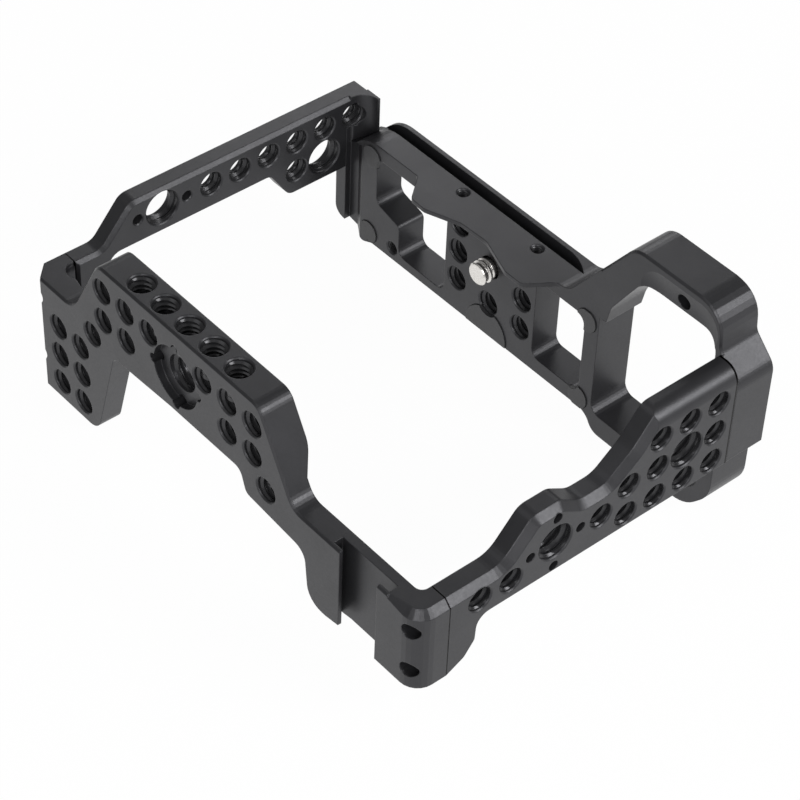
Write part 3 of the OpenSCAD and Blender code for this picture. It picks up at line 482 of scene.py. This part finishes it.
def grip_side_threads(material):
    threads = Threads()
    y0 = GRIP_BLOCK_Y_SHARE * CAGE_D
    z0 = GRIP_BLOCK_Z_SHARE * GRIP_H
    for i in (-1, 0, 1):
        for k in (-1, 0, 1):
            mouth = place(CAGE_W, y0 + i * HOLE_PITCH, z0 + k * HOLE_PITCH)
            if i or k:
                threads.hole(mouth, -X_AXIS, GRIP_T)
            else:
                threads.hole(mouth, -X_AXIS, GRIP_T, THREE_EIGHTH_R, THREE_EIGHTH_PITCH)
    for k in (-1, 0):
        threads.hole(place(CAGE_W, y0 - 2 * HOLE_PITCH, z0 + k * HOLE_PITCH), -X_AXIS, GRIP_T)
    for y_share, z_share in GRIP_SINGLE_SHARES:
        threads.hole(place(CAGE_W, y_share * CAGE_D, z_share * GRIP_H), -X_AXIS, GRIP_T)
    y_share, z_share = GRIP_LOCATOR_SHARES
    threads.hole(
        place(CAGE_W, y_share * CAGE_D, z_share * GRIP_H), -X_AXIS, GRIP_T,
        THREE_EIGHTH_R, THREE_EIGHTH_PITCH)
    threads.piece("grip_side_threads", material)


BOTTOM_HOLE_SHARES = (
    (0.343, 0.865), (0.343, 0.634), (0.343, 0.393), (0.426, 0.3915), (0.507, 0.6326), (0.507, 0.3915))
SMALL_HOLE_SHARES = (0.169, 0.2124)
SMALL_HOLE_R = 1.2 * SMALL_R
LEDGE_HOLE_SHARES = (0.313, 0.5035)
LEDGE_HOLE_Y_SHARE = 0.4
LEDGE_HOLE_DEPTH = 6 * MM


def bottom_threads(material):
    threads = Threads()
    for x_share, z_share in BOTTOM_HOLE_SHARES:
        threads.hole(place(x_share * CAGE_W, BOTTOM_Y, z_share * LEDGE_H), Y_AXIS, WEB_T)
    small = place(SMALL_HOLE_SHARES[0] * CAGE_W, BOTTOM_Y, SMALL_HOLE_SHARES[1] * LEDGE_H)
    threads.hole(small, Y_AXIS, WEB_T, SMALL_HOLE_R, SMALL_PITCH)
    for x_share in LEDGE_HOLE_SHARES:
        mouth = place(x_share * CAGE_W, BOTTOM_Y + LEDGE_HOLE_Y_SHARE * BOTTOM_T, LEDGE_H)
        threads.hole(mouth, -Z_AXIS, LEDGE_HOLE_DEPTH, SMALL_R, SMALL_PITCH)
    threads.piece("bottom_plate_threads", material)


LEFT_ROW_Y_SHARE = 0.4815
LEFT_BAR_H = 44.3 * MM
LEFT_ROW_Z = 0.8668 * LEFT_BAR_H
LEFT_LOCATOR_Y_SHARE = 0.34
LEFT_ROW_HOLES = 6


def left_side_threads(material):
    threads = Threads()
    y0 = LEFT_ROW_Y_SHARE * CAGE_D
    for i in range(LEFT_ROW_HOLES):
        threads.hole(place(LEFT_T, y0 + i * HOLE_PITCH, LEFT_ROW_Z), -X_AXIS, LEFT_T)
    threads.hole(place(LEFT_T, y0 + 3 * HOLE_PITCH, LEFT_ROW_Z - HOLE_PITCH), -X_AXIS, LEFT_T)
    large = [(y0 + 4 * HOLE_PITCH, LEFT_ROW_Z - HOLE_PITCH), (LEFT_LOCATOR_Y_SHARE * CAGE_D, LEFT_ROW_Z)]
    for y, z in large:
        threads.hole(place(LEFT_T, y, z), -X_AXIS, LEFT_T, THREE_EIGHTH_R, THREE_EIGHTH_PITCH)
    threads.piece("left_side_threads", material)


# Camera screw

SCREW_X = 0.4253 * CAGE_W
SCREW_Z = 26.2 * MM
SCREW_R = 3.175 * MM
SCREW_REACH = 4.4 * MM
SCREW_TIP_BEVEL = 0.3 * MM
SCREW_TIP_LAND = 0.4 * MM
SCREW_RIDGE_DEPTH_SHARE = 0.42
SCREW_RIDGE_CREST_SHARE = 0.15
SCREW_TIP_STEP = 0.12 * MM
SCREW_TIP_R = SCREW_R - SCREW_TIP_STEP
SCREW_SHANK_R = 0.82 * SCREW_R
SCREW_SEAT_T = 4 * MM
SCREW_HEAD_Y = BOTTOM_Y + SCREW_SEAT_T
SCREW_HEAD_R = 5.5 * MM
SCREW_HEAD_T = 2.6 * MM
SCREW_SLOT_W = 1.3 * MM
HEAD_EDGE = 0.25 * MM
ROUND_STEPS = 96


def add_lathe(bm, profile, centre, direction):
    """A closed turned body from rows of (distance along, radius), with flat ends."""
    u, w = round_frame(direction)
    rings = []
    for along, radius in profile:
        ring = []
        for k in range(ROUND_STEPS):
            angle = 2 * math.pi * k / ROUND_STEPS
            out = u * math.cos(angle) + w * math.sin(angle)
            ring.append(bm.verts.new(centre + direction * along + out * radius))
        rings.append(ring)
    skin_rings(bm, rings)


def add_half_head(bm, sign, low, high, radius, slot_half):
    """The part of the head beside its slot, from low to high along Y, on one side in Z."""
    edge = math.asin(slot_half / radius)
    steps = ROUND_STEPS // 2
    rows = [(low, radius), (high - HEAD_EDGE, radius), (high, radius - HEAD_EDGE)]
    layers = []
    for y, r in rows:
        layer = []
        for k in range(steps + 1):
            angle = edge + (math.pi - 2 * edge) * k / steps
            x = math.cos(angle) * r
            z = max(math.sin(angle) * r, slot_half) * sign
            layer.append(bm.verts.new(place(SCREW_X + x, y, SCREW_Z + z)))
        layers.append(layer)
    skin_rings(bm, layers)


def camera_screw(material):
    """The screw with a real thread, an undercut shank and a slotted head."""
    bm = bmesh.new()
    tip = place(SCREW_X, BOTTOM_Y - SCREW_REACH, SCREW_Z)
    core_r = SCREW_R - SCREW_RIDGE_DEPTH_SHARE * QUARTER_PITCH
    head_low = SCREW_HEAD_Y - (BOTTOM_Y - SCREW_REACH)
    slot_floor = head_low + SCREW_HEAD_T / 2
    add_lathe(bm, [
        (0, SCREW_TIP_R - SCREW_TIP_BEVEL), (SCREW_TIP_BEVEL, SCREW_TIP_R), (SCREW_TIP_LAND, SCREW_TIP_R),
        (SCREW_TIP_LAND + SCREW_TIP_BEVEL, core_r), (SCREW_REACH, core_r),
        (SCREW_REACH, SCREW_SHANK_R), (head_low, SCREW_SHANK_R), (head_low, SCREW_HEAD_R - HEAD_EDGE),
        (head_low + HEAD_EDGE, SCREW_HEAD_R), (slot_floor, SCREW_HEAD_R)], tip, Y_AXIS)
    clear = THREAD_ROOT_SHARE * QUARTER_PITCH
    thread_l = SCREW_REACH - SCREW_TIP_LAND - 2 * clear
    add_thread(
        bm, tip + Y_AXIS * (SCREW_TIP_LAND + clear), Y_AXIS, thread_l, SCREW_R, QUARTER_PITCH, False,
        SCREW_RIDGE_DEPTH_SHARE, SCREW_RIDGE_CREST_SHARE)
    for sign in (-1, 1):
        add_half_head(
            bm, sign, SCREW_HEAD_Y + SCREW_HEAD_T / 2, SCREW_HEAD_Y + SCREW_HEAD_T,
            SCREW_HEAD_R, SCREW_SLOT_W / 2)
    mesh = finish_mesh(bm, "camera_screw_turned")
    piece = new_piece("camera_screw_turned", mesh, material, "screw")
    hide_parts("camera_screw")


# Studio


FLOOR_HALF_W = 3.0
FLOOR_DROP = 0.05 * MM
PAPER = (0.9, 0.9, 0.9, 1)
WHITE = (1, 1, 1, 1)
GLOW_SHARE = 0.97


def studio_floor():
    """A wide pale floor that the camera sees as white paper, with a trace of shadow."""
    bm = bmesh.new()
    half = FLOOR_HALF_W
    bm.faces.new([bm.verts.new((x * half, y * half, 0)) for x, y in ((-1, -1), (1, -1), (1, 1), (-1, 1))])
    mesh = bpy.data.meshes.new("floor")
    bm.to_mesh(mesh)
    bm.free()
    floor = bpy.data.objects.new("floor", mesh)
    floor.location.z = -FLOOR_DROP
    bpy.context.scene.collection.objects.link(floor)
    material = bpy.data.materials.new("white_paper")
    material.use_nodes = True
    tree = material.node_tree
    tree.nodes.clear()
    paper = tree.nodes.new("ShaderNodeBsdfDiffuse")
    paper.inputs["Color"].default_value = PAPER
    glow = tree.nodes.new("ShaderNodeEmission")
    glow.inputs["Color"].default_value = WHITE
    glow.inputs["Strength"].default_value = 1
    path = tree.nodes.new("ShaderNodeLightPath")
    seen = tree.nodes.new("ShaderNodeMath")
    seen.operation = "MAXIMUM"
    tree.links.new(path.outputs["Is Camera Ray"], seen.inputs[0])
    tree.links.new(path.outputs["Is Glossy Ray"], seen.inputs[1])
    share = tree.nodes.new("ShaderNodeMath")
    share.operation = "MULTIPLY"
    share.inputs[1].default_value = GLOW_SHARE
    tree.links.new(seen.outputs[0], share.inputs[0])
    mix = tree.nodes.new("ShaderNodeMixShader")
    tree.links.new(share.outputs[0], mix.inputs["Fac"])
    tree.links.new(paper.outputs[0], mix.inputs[1])
    tree.links.new(glow.outputs[0], mix.inputs[2])
    output = tree.nodes.new("ShaderNodeOutputMaterial")
    tree.links.new(mix.outputs[0], output.inputs[0])
    mesh.materials.append(material)


LIGHT_AIM = Vector((0, 0, 0.02))
AMBIENT = 0.26
# Each softbox: its place, its size and its power in watts.
SOFTBOXES = {
    "key_softbox": ((-0.2, -0.5, 1.1), (0.7, 0.7), 1.5),
    "right_softbox": ((0.9, 0.55, 0.7), (0.7, 0.5), 10),
    "back_softbox": ((-0.75, 0.68, 0.55), (0.5, 0.4), 2),
    "front_softbox": ((0.6, -0.7, 0.5), (0.6, 0.5), 6),
}


def area_light(name, at, size, power):
    data = bpy.data.lights.new(name, "AREA")
    data.shape = "RECTANGLE"
    data.size, data.size_y = size
    data.energy = power
    lamp = bpy.data.objects.new(name, data)
    lamp.location = at
    lamp.rotation_mode = "QUATERNION"
    lamp.rotation_quaternion = (LIGHT_AIM - Vector(at)).to_track_quat("-Z", "Y")
    bpy.context.scene.collection.objects.link(lamp)


def studio_light():
    for name, values in SOFTBOXES.items():
        area_light(name, *values)
    world = bpy.data.worlds.new("studio")
    bpy.context.scene.world = world
    world.use_nodes = True
    tree = world.node_tree
    tree.nodes.clear()
    ambient, white = [tree.nodes.new("ShaderNodeBackground") for _ in range(2)]
    for light, strength in ((ambient, AMBIENT), (white, 1)):
        light.inputs["Color"].default_value = WHITE
        light.inputs["Strength"].default_value = strength
    path = tree.nodes.new("ShaderNodeLightPath")
    mix = tree.nodes.new("ShaderNodeMixShader")
    tree.links.new(path.outputs["Is Camera Ray"], mix.inputs["Fac"])
    tree.links.new(ambient.outputs[0], mix.inputs[1])
    tree.links.new(white.outputs[0], mix.inputs[2])
    output = tree.nodes.new("ShaderNodeOutputWorld")
    tree.links.new(mix.outputs[0], output.inputs[0])


def main():
    bpy.context.scene.view_settings.view_transform = "Standard"
    make_camera()
    looks = {name: plain_finish(name, **values) for name, values in FINISHES.items()}
    looks["anodised_aluminium"] = anodised_aluminium()
    looks["bright_steel"] = bright_steel()
    dress_cad_nodes(looks)
    for add_threads in (top_plate_threads, grip_side_threads, bottom_threads, left_side_threads):
        add_threads(looks["anodised_thread"])
    camera_screw(looks["bright_steel"])
    studio_floor()
    studio_light()


main()
